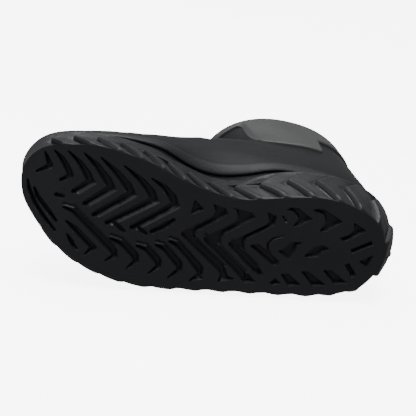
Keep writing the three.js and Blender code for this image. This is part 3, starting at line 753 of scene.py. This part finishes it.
def new_material(name, values):
    """Material, and its shader with the given values."""
    material = bpy.data.materials.new(name)
    material.use_nodes = True
    shader = material.node_tree.nodes["Principled BSDF"]
    set_inputs(shader, values)
    return material, shader


def new_node(material, kind, values):
    """Node of a material with the given values."""
    node = material.node_tree.nodes.new(kind)
    set_inputs(node, values)
    return node


def join(material, *links):
    """Links of a material, each from a node's output to a node's input."""
    for source, output, target, socket in links:
        material.node_tree.links.new(source.outputs[output], target.inputs[socket])


def rubber(piece, color):
    """Matt moulded rubber: fine grain, a pale bloom in patches and a weak sheen."""
    roughness, grain, bloom, coat, shine = RUBBERS[piece]
    material, shader = new_material(
        piece + " rubber", {"Coat Weight": coat, "Coat Roughness": 0.45, "Specular IOR Level": shine})
    place = new_node(material, "ShaderNodeTexCoord", {})
    patches = new_node(material, "ShaderNodeTexNoise", {"Scale": 34, "Detail": 3})
    tone = new_node(material, "ShaderNodeValToRGB", {})
    for stop, position, change in zip(tone.color_ramp.elements, (0.3, 0.75), (-bloom, bloom)):
        stop.position = position
        stop.color = (*[c * (1 + change) for c in color], 1)
    spread = 0.06
    rough = new_node(material, "ShaderNodeMapRange",
                     {"To Min": roughness - spread, "To Max": roughness + spread})
    fine = new_node(material, "ShaderNodeTexNoise", {"Scale": 1500, "Detail": 2})
    bump = new_node(material, "ShaderNodeBump", {"Strength": grain, "Distance": 0.0002})
    join(material, (place, "Object", patches, "Vector"), (place, "Object", fine, "Vector"),
         (patches, "Fac", tone, "Fac"), (patches, "Fac", rough, "Value"),
         (tone, "Color", shader, "Base Color"), (rough, "Result", shader, "Roughness"),
         (fine, "Fac", bump, "Height"), (bump, "Normal", shader, "Normal"))
    return material


def cloth(name, color):
    """Dark knitted cloth."""
    material, shader = new_material(
        name, {"Base Color": (*color, 1), "Roughness": 0.95, "Sheen Weight": 0.3})
    place = new_node(material, "ShaderNodeTexCoord", {})
    rows = new_node(material, "ShaderNodeTexWave", {"Scale": 350, "Distortion": 2})
    bump = new_node(material, "ShaderNodeBump", {"Strength": 0.5, "Distance": 0.0003})
    join(material, (place, "Object", rows, "Vector"), (rows, "Fac", bump, "Height"),
         (bump, "Normal", shader, "Normal"))
    return material


def length(name, description, default):
    """Property for a length in metres."""
    return FloatProperty(name=name, description=description, default=default, unit="LENGTH")


def colour(name, description, default):
    """Property for a colour."""
    return FloatVectorProperty(name=name, description=description, default=default, subtype="COLOR")


class BootSizes(bpy.types.PropertyGroup):
    """Sizes and colours of the boot."""

    sole_length: length("Sole length", "Tread from heel to toe", 0.3)
    ball_width: length("Ball width", "Tread across the ball of the foot", 0.104)
    heel_rise: length("Heel rise", "Tread to foot bed under the heel", 0.024)
    toe_spring: length("Toe spring", "Lift of the tread at the toe", 0.011)
    side_height: length("Side height", "Side wall of the sole at the heel", 0.04)
    side_flare: length("Side flare", "Lean of the side wall outwards", 0.008)
    lug_pitch: length("Lug pitch", "Side lug to side lug, on average", 0.02)
    lug_depth: length("Lug depth", "Deepest part of a side lug", 0.0028)
    lug_proud: length("Lug bead", "Bead of a side lug over the wall", 0.0015)
    groove_depth: length("Groove depth", "Depth of the tread grooves", 0.0045)
    rim_height: length("Rim height", "Tread to collar rim", 0.15)
    wall: length("Wall", "Moulded rubber of the upper", 0.0024)
    collar_proud: length("Collar height", "Collar band over the upper", 0.0021)
    band_height: length("Band height", "Collar band at the front and back", 0.0075)
    tab_height: length("Tab height", "Collar band just behind the grip", 0.028)
    grip_height: length("Grip height", "Pull grip below the rim", 0.052)
    grip_width: length("Grip width", "Pull grip along the boot", 0.062)
    grip_back: length("Grip back", "Rear edge of the grip from the heel", 0.048)
    rand_proud: length("Rand height", "Rand over the upper", 0.0031)
    rand_width: length("Rand width", "Rand band from edge to edge", 0.0085)
    rand_gap: length("Rand gap", "Groove between sole edge and rand", 0.0018)
    fit: length("Fit", "Clearance between pieces", 0.0003)
    insole_thick: length("Insole", "Thickness of the foot bed pad", 0.004)
    sole_color: colour("Sole colour", "Rubber of the outsole", (0.0085, 0.009, 0.0112))
    upper_color: colour("Upper colour", "Rubber of the upper and rand", (0.0068, 0.0079, 0.0088))
    # Collar colour: rubber lighter than the upper's, painted light for the light that falls on the
    # collar from behind
    collar_painted_light_color: colour("Collar colour", "Bloomed rubber of the collar", (0.036, 0.037, 0.037))
    cloth_color: colour("Cloth colour", "Lining and insole cover", (0.02, 0.021, 0.022))
    floor_color: colour("Floor colour", "Studio floor", (0.9, 0.9, 0.9))

    def lengths(self):
        """Names of the sizes that are lengths."""
        return [name for name in self.__annotations__ if not name.endswith("_color")]


class BOOT_OT_outsole(bpy.types.Operator):
    """Moulded cup sole with chevron side lugs and zigzag tread"""

    bl_idname = "boot.outsole"
    bl_label = "Outsole"

    # Lip round the top: share of the way to the upper that its crest has gone and its height, the
    # drop where it meets the upper, and the share of its width by which it goes in there
    crest_share = 0.2
    crest_rise = 0.12
    lip_drop = 0.3
    lip_inside = 0.12
    # Drop from the foot bed to the rubber under it
    bed_drop = 0.4
    # Places round the outline among which the nearest one is found
    tries = 1500

    def execute(self, context):
        """Side wall, seat and tread as one mesh."""
        shape = Shape(context.scene.boot)
        material = rubber("sole", context.scene.boot.sole_color)
        rings = [shape.side_ring(up) for up in RING_HEIGHTS]
        rings += self.seat(shape, rings[-1])
        points = np.concatenate(rings)
        faces = ring_faces(len(rings), len(rings[0]))
        rim = rings[0][:, :2]
        flat, triangles = filled(rim, shape.tread_points(rim))
        depth = shape.tread_cut(flat[:, 0], flat[:, 1])
        tread = np.column_stack([flat, shape.tread_at(flat[:, 0]) + depth])
        faces += [tuple(len(points) + v for v in face) for face in triangles]
        add_piece("outsole_moulding", np.concatenate([points, tread]), faces, material,
                  "sole_rubber", "outsole", flat_above=38)
        return {"FINISHED"}

    def seat(self, shape, top):
        """Rings from the top of the side wall in to the upper and over the bed to its middle."""
        shares = self.nearest_shares(shape, top)
        cover = shape.around(shape.outer_tree, shares, lambda x: shape.side_at(x) - self.lip_drop)
        lip = top * (1 - self.crest_share) + cover * self.crest_share + np.array([0, 0, self.crest_rise])
        inner = cover.copy()
        inner[:, :2] += (cover - top)[:, :2] * self.lip_inside
        bed = inner.copy()
        bed[:, 2] = shape.bed_at(bed[:, 0]) - self.bed_drop
        middle = shape.bed_middle(shares, -self.bed_drop)
        return [lip, inner, bed, bed * 0.5 + middle * 0.5, middle]

    def nearest_shares(self, shape, ring):
        """Share of the outline nearest to each point of a ring."""
        shares = np.linspace(0, 1, self.tries, endpoint=False)
        x, y, flare, out_x, out_y = shape.on_outline(shares)
        edge = np.stack([x + out_x * flare, y + out_y * flare], axis=1)
        return np.array([shares[np.argmin(((edge - p[:2]) ** 2).sum(axis=1))] for p in ring])


class BOOT_OT_upper(bpy.types.Operator):
    """Hollow moulded upper with its soft creases and cloth lining"""

    bl_idname = "boot.upper"
    bl_label = "Upper"

    # In millimetres: bulge of the closed toe outside, inside and on the lining, depth of the
    # lining's two faces behind the wall, and the distance over which a one-sided crease fades
    bulges = (2.0, 0.5, 0.2)
    lining_faces = (0.05, 0.8)
    crease_fade = 20
    # Sizes of a cap's rings as shares of the section that it closes
    cap_shares = (0.92, 0.75, 0.5, 0.25, 0.0)
    # Rings round the rim, and rings under it that have no lining
    rim_rings = 8
    bare_rings = 4

    def execute(self, context):
        """Shell from the closed toe to the rim and back inside, and the lining in it."""
        shape = Shape(context.scene.boot)
        material = rubber("upper", context.scene.boot.upper_color)
        outer = self.creased(shape, shape.outer)
        inner = shape.form(-shape.wall)
        rings = self.cap(outer[0], self.bulges[0])[::-1] + list(outer[:-1])
        for share in np.linspace(0, 1, self.rim_rings):
            ring = outer[-1] * (1 - share) + inner[-1] * share
            ring[:, 2] = shape.rim_height - shape.wall / 2 * (1 - math.sin(math.pi * share))
            rings.append(ring)
        rings += list(inner[:-1][::-1]) + self.cap(inner[0], self.bulges[1])
        add_rings("upper_shell", rings, material, "upper_rubber", "upper")

        lining = cloth("lining cloth", context.scene.boot.cloth_color)
        near = shape.form(-shape.wall - self.lining_faces[0])
        far = shape.form(-shape.wall - self.lining_faces[1])
        stop = len(near) - self.bare_rings
        rings = self.cap(near[0], self.bulges[2])[::-1] + list(near[:stop])
        rings += list(far[:stop][::-1]) + self.cap(far[0], self.bulges[2])
        add_rings("lining", rings, lining, "bed_foam")
        return {"FINISHED"}

    def creased(self, shape, grid):
        """The outer form with its troughs and ridges pressed in along its outward direction."""
        normal = normals_of(grid)
        middle = grid[:, :, 1].mean(axis=1)[:, None]
        shift = np.zeros(grid.shape[:2])
        for side, wide, deep, line in CREASES:
            away = to_line(grid[:, :, 0], grid[:, :, 2], line)
            share = ramp(0.5 + (grid[:, :, 1] - middle) * side / self.crease_fade) if side else 1
            shift -= deep * share * np.exp(-(away / wide) ** 2)
        return grid + normal * shift[:, :, None]

    def cap(self, ring, bulge):
        """Rings that close a section with a low dome."""
        centre = ring.mean(axis=0)
        rings = []
        for share in self.cap_shares:
            step = centre + (ring - centre) * share
            step[:, 0] += bulge * (1 - share ** 2)
            rings.append(step)
        return rings


class BOOT_OT_collar(bpy.types.Operator):
    """Raised collar band with a deep pull grip on each side"""

    bl_idname = "boot.collar"
    bl_label = "Collar"

    # Unrolled shaft: first row of the upper's table and step in it, and in millimetres its
    # bottom, its step of height and the height at which its length is measured
    first_row = 8
    row_step = 0.1
    bottom = 90
    height_step = 1.0
    level = 130
    # In millimetres: spacing of the outline and of the points in it, their distance to it, runs of
    # the rounded lower edge and of the dip in front of a grip, depth of the foot in the upper, and
    # what still counts as the same place
    border_step = 1.0
    point_step = 1.6
    point_margin = 0.7
    edge_run = 1.5
    dip_run = 5
    foot = 0.8
    tiny = 0.01
    # In millimetres, half the spans round and up the shaft that give the outward direction
    span_round = 1.5
    span_up = 2
    # Bevel of the band's edges: width in metres, and degrees from which an edge gets it
    edge_radius = 0.0009
    sharp = 50
    # Shares of the band's height that are left at its lower edge and in that dip
    edge_share = 0.65
    dip_share = 0.25

    def execute(self, context):
        """Fills the band's outline on the unrolled shaft and lays it round the boot."""
        shape = Shape(context.scene.boot)
        # The collar's rubber takes the lighter collar colour, which paints the light falling on the
        # collar
        material = rubber("collar", context.scene.boot.collar_painted_light_color)
        around, heights, shaft = self.unrolled(shape)
        start, end = (around[0] + around[1]) / 2, (around[-2] + around[-1]) / 2
        border = self.border(shape, around, heights, shaft, start, end)
        s, z = crossings(np.arange(start, end, self.point_step),
                         np.arange(heights[0], shape.rim_height, self.point_step))
        inside = to_edge(s, z, border.tolist()) < -self.point_margin
        flat, faces = filled(border, np.stack([s[inside], z[inside]], axis=1))
        skin, normal = self.lay(flat, around, heights, shaft)
        outer = skin + normal * self.proud(shape, border, flat, skin)[:, None]
        points, walls = self.walls(outer, skin - normal * self.foot, faces)
        walls = [wall for wall in walls if not self.on_seam(flat, wall, start, end)]
        piece = add_piece("collar_grips", points, faces + walls, material, "collar_rubber",
                          "collar_band")
        bevel = piece.modifiers.new("edge", "BEVEL")
        bevel.width = self.edge_radius
        bevel.segments = 3
        bevel.limit_method = "ANGLE"
        bevel.angle_limit = math.radians(self.sharp)
        return {"FINISHED"}

    def unrolled(self, shape):
        """Lengths round the shaft, its heights, and x and y of the upper at each of both."""
        grid = shape.form(0, np.arange(self.first_row, RIM_ROW + self.tiny, self.row_step))
        angles = np.arange(-1, shape.loop_points + 1)
        heights = np.arange(self.bottom, shape.rim_height + self.tiny, self.height_step)
        shaft = np.zeros((len(angles), len(heights), 2))
        for a, angle in enumerate(angles):
            line = grid[:, angle % shape.loop_points]
            climb = np.maximum.accumulate(line[:, 2])
            for k in (0, 1):
                shaft[a, :, k] = np.interp(heights, climb + np.arange(len(climb)) * 1e-6, line[:, k])
        level = np.argmin(np.abs(heights - self.level))
        steps = np.linalg.norm(np.diff(shaft[:, level], axis=0), axis=1)
        return np.concatenate([[0], np.cumsum(steps)]), heights, shaft

    def proud(self, shape, border, flat, skin):
        """Height of the band over the upper: rounded below, and lower in front of each grip."""
        away = -to_edge(flat[:, 0], flat[:, 1], self.lower_edge(border, shape))
        soft = ramp(away / self.edge_run) * (1 - self.edge_share) + self.edge_share
        front = shape.grip_back + shape.grip_width
        slope = ((front + 1.5, shape.rim_height - shape.band_height),
                 (front - 8, shape.rim_height - shape.grip_height + 10))
        near = ramp(to_line(skin[:, 0], skin[:, 2], slope) / self.dip_run)
        soft = np.minimum(soft, self.dip_share + (1 - self.dip_share) * near)
        return (shape.fit + shape.collar_proud) * soft

    def walls(self, outer, feet, faces):
        """Points with a foot under each border point, and walls between them."""
        edges = dict.fromkeys(pair for face in faces for pair in zip(face, face[1:] + face[:1]))
        points = list(outer)
        under = {}
        walls = []
        for a, b in edges:
            if (b, a) in edges:
                continue
            for v in (a, b):
                if v not in under:
                    under[v] = len(points)
                    points.append(feet[v])
            walls.append((b, a, under[a], under[b]))
        return np.array(points), walls

    def on_seam(self, flat, wall, start, end):
        """Whether a wall stands on the cut of the unrolled band."""
        s = [flat[v, 0] for v in wall[:2]]
        return any(all(abs(v - cut) < self.tiny for v in s) for cut in (start, end))

    def side_line(self, shape):
        """Lower edge of the band in side view, from the front to the back."""
        band = shape.rim_height - shape.band_height
        grip = shape.rim_height - shape.grip_height
        tab = shape.rim_height - shape.tab_height
        back = shape.grip_back
        front = shape.grip_back + shape.grip_width
        return rounded([
            (170, band, 0), (128, band + 0.6, 8), (front + 1.5, band + 2.6, 4), (front - 8, grip + 2, 9),
            (back, grip, 2.5), (back, tab, 1.5), (8, band - 6.5, 30), (-20, band - 6, 0)])

    def border(self, shape, around, heights, shaft, start, end):
        """Closed outline of the band on the unrolled shaft."""
        line = spaced(self.side_line(shape), self.border_step)
        half = len(shaft) // 2
        sides = []
        for rows in (slice(0, half + 1), slice(half, None)):
            part, runs = shaft[rows], around[rows]
            found = []
            for x, z in line:
                at = np.array([np.interp(z, heights, part[k, :, 0]) for k in range(len(part))])
                if x <= at.min() or x >= at.max():
                    continue
                order = np.argsort(at)
                found.append((np.interp(x, at[order], runs[order]), z))
            sides.append(np.array(found))
        inner, outer = sides
        seam = (inner[-1, 1] + outer[-1, 1]) / 2
        lower = np.concatenate([[[start, seam]], inner[::-1], outer, [[end, seam]]])
        top = np.array([[end, shape.rim_height], [start, shape.rim_height]])
        return spaced(np.concatenate([lower, top, lower[:1]]), self.border_step)[:-1]

    def lower_edge(self, border, shape):
        """The outline with its top and its seam moved out of reach, to round only its lower edge."""
        away = 60
        moved = border.copy()
        moved[moved[:, 1] > shape.rim_height - self.tiny, 1] += away
        low, high = border[:, 0].min(), border[:, 0].max()
        moved[border[:, 0] < low + self.tiny, 0] -= away
        moved[border[:, 0] > high - self.tiny, 0] += away
        return moved.tolist()

    def lay(self, flat, around, heights, shaft):
        """Points and outward directions on the shaft for places on its unrolled form."""
        def at(s, z):
            """Points of the shaft at lengths round it and heights."""
            i = np.clip(np.searchsorted(around, s) - 1, 0, len(around) - 2)
            j = np.clip(((z - heights[0]) / (heights[1] - heights[0])).astype(int), 0, len(heights) - 2)
            u = ((s - around[i]) / (around[i + 1] - around[i]))[:, None]
            v = ((z - heights[j]) / (heights[j + 1] - heights[j]))[:, None]
            plan = ((1 - u) * (1 - v) * shaft[i, j] + u * (1 - v) * shaft[i + 1, j]
                    + (1 - u) * v * shaft[i, j + 1] + u * v * shaft[i + 1, j + 1])
            return np.column_stack([plan, z])

        s, z = flat[:, 0], flat[:, 1]
        skin = at(s, z)
        run = at(s + self.span_round, z) - at(s - self.span_round, z)
        above = np.minimum(z + self.span_up, heights[-1])
        climb = at(s, above) - at(s, above - 2 * self.span_up)
        normal = np.cross(run, climb)
        normal /= np.linalg.norm(normal, axis=1)[:, None]
        centre = skin.mean(axis=0)
        if (((skin - centre) * normal).sum(axis=1)).mean() < 0:
            normal = -normal
        return skin, normal


class BOOT_OT_rand(bpy.types.Operator):
    """Rounded rand round the foot just above the sole"""

    bl_idname = "boot.rand"
    bl_label = "Rand"

    # Points round the boot and rings over the rand
    points = 720
    ring_count = 17
    # In millimetres: depth of the rand's two feet in the upper, and of its edges
    foot = 0.7
    sink = 0.02
    # Across the rand: twice the share of its width where it is highest, and how blunt it is there
    # and steep at its edges
    crest = 0.85
    blunt = 3.2
    steep = 0.55

    def execute(self, context):
        """Rings laid on the upper from the groove over the sole to the rand's top."""
        shape = Shape(context.scene.boot)
        material = rubber("rand", context.scene.boot.upper_color)
        shares = np.linspace(0, 1, self.points, endpoint=False)
        rows = np.linspace(0, 1, self.ring_count)
        base = np.array([
            shape.around(shape.outer_tree, shares,
                         lambda x, r=r: shape.side_at(x) + shape.rand_gap + r * shape.rand_width)
            for r in rows
        ])
        normal = normals_of(base)
        rings = [base[0] - normal[0] * self.foot]
        for k, r in enumerate(rows):
            rings.append(base[k] + normal[k] * (shape.rand_proud * self.swell(r) - self.sink))
        rings.append(base[-1] - normal[-1] * self.foot)
        rings.append(rings[0])
        add_rings("rand_rib", rings, material, "rand_rubber", "rand")
        return {"FINISHED"}

    def swell(self, share):
        """Share of the rand's height across it: blunt, and highest a little below its middle."""
        away = abs(2 * share - self.crest) ** self.blunt / (2 - self.crest) ** self.blunt
        return max(0.0, 1 - away) ** self.steep


class BOOT_OT_insole(bpy.types.Operator):
    """Loose foam bed with a cloth cover"""

    bl_idname = "boot.insole"
    bl_label = "Insole"

    # Points round the insole, in millimetres its room over the upper's margin, and the share of its
    # thickness at which its edge follows the wall
    points = 360
    room = 0.35
    edge_height = 0.7

    def execute(self, context):
        """Pad fitted to the inside of the upper and laid on the foot bed."""
        shape = Shape(context.scene.boot)
        material = cloth("insole cloth", context.scene.boot.cloth_color)
        tree = shape.tree(shape.form(-shape.wall))
        shares = np.linspace(0, 1, self.points, endpoint=False)
        floor = shape.wall + self.room
        thick = shape.insole_thick
        edge = shape.around(tree, shares, lambda x: shape.bed_at(x) + floor + thick * self.edge_height)
        middle = shape.bed_middle(shares, floor)
        rings = []
        for reach, up in INSOLE_PROFILE:
            ring = middle + (edge - middle) * reach
            ring[:, 2] = shape.bed_at(ring[:, 0]) + floor + thick * up
            rings.append(ring)
        piece = add_rings("insole_pad", rings, material, "bed_foam", "insole")
        return {"FINISHED"}


class BOOT_OT_stage(bpy.types.Operator):
    """Pale floor, soft light and the camera at the photograph's angle"""

    bl_idname = "boot.stage"
    bl_label = "Stage"

    def execute(self, context):
        """Floor, world, lights and camera."""
        scene = context.scene
        mesh = bpy.data.meshes.new("floor")
        mesh.from_pydata([(-6, -6, 0), (6, -6, 0), (6, 12, 0), (-6, 12, 0)], [], [(0, 1, 2, 3)])
        floor = bpy.data.objects.new("floor", mesh)
        scene.collection.objects.link(floor)
        paint, _ = new_material("floor paint", {
            "Base Color": (*scene.boot.floor_color, 1), "Roughness": 0.9, "Specular IOR Level": 0.1,
            "Emission Color": (1, 1, 1, 1), "Emission Strength": 6.0})
        mesh.materials.append(paint)
        floor.visible_glossy = False
        floor.visible_diffuse = False

        world = bpy.data.worlds.new("studio")
        world.use_nodes = True
        set_inputs(world.node_tree.nodes["Background"], {"Color": (1, 1, 1, 1), "Strength": 0.35})
        scene.world = world
        for light in LIGHTS:
            self.light(*light)
        self.camera(scene)
        return {"FINISHED"}

    def light(self, name, place, aim, size, power):
        """Square soft light that points at a place."""
        lamp = bpy.data.lights.new(name, "AREA")
        lamp.shape = "SQUARE"
        lamp.size = size
        lamp.energy = power
        item = bpy.data.objects.new(name, lamp)
        item.location = place
        item.rotation_euler = (Vector(aim) - Vector(place)).to_track_quat("-Z", "Y").to_euler()
        bpy.context.scene.collection.objects.link(item)

    def camera(self, scene):
        """Camera fitted to the photograph in the shoe's frame."""
        turn, origin = shoe_to_world()
        place = turn @ Vector(CAMERA_AT) + origin
        ahead = (turn @ Vector(CAMERA_AHEAD)).normalized()
        right = (turn @ Vector(CAMERA_RIGHT)).normalized()
        lens = bpy.data.cameras.new("camera")
        lens.lens = FOCAL_LENGTH
        lens.sensor_width = 36
        lens.shift_x, lens.shift_y = CAMERA_SHIFT
        lens.clip_end = 50
        item = bpy.data.objects.new("camera", lens)
        axes = Matrix((right, right.cross(ahead), -ahead)).transposed()
        item.matrix_world = Matrix.Translation(place) @ axes.to_4x4()
        scene.collection.objects.link(item)
        scene.camera = item


class BOOT_PT_panel(bpy.types.Panel):
    """Lists the boot's pieces and sizes"""

    bl_idname = "BOOT_PT_panel"
    bl_label = "Rubber boot"
    bl_space_type = "VIEW_3D"
    bl_region_type = "UI"
    bl_category = "Rubber boot"

    def draw(self, context):
        """Draws a button for each operator and a field for each size and colour."""
        for operator in OPERATORS:
            self.layout.operator(operator.bl_idname)
        for name in BootSizes.__annotations__:
            self.layout.prop(context.scene.boot, name)


OPERATORS = (BOOT_OT_outsole, BOOT_OT_upper, BOOT_OT_collar, BOOT_OT_rand, BOOT_OT_insole, BOOT_OT_stage)
CLASSES = (BootSizes, *OPERATORS, BOOT_PT_panel)


def register():
    """Registers the classes and gives the scene its sizes."""
    for item in CLASSES:
        bpy.utils.register_class(item)
    bpy.types.Scene.boot = PointerProperty(type=BootSizes)


def unregister():
    """Takes both away again."""
    del bpy.types.Scene.boot
    for item in reversed(CLASSES):
        bpy.utils.unregister_class(item)


def main():
    """Builds every piece and the stage."""
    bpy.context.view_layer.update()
    register()
    bpy.ops.boot.outsole()
    bpy.ops.boot.upper()
    bpy.ops.boot.collar()
    bpy.ops.boot.rand()
    bpy.ops.boot.insole()
    bpy.ops.boot.stage()


if __name__ == "__main__":
    main()
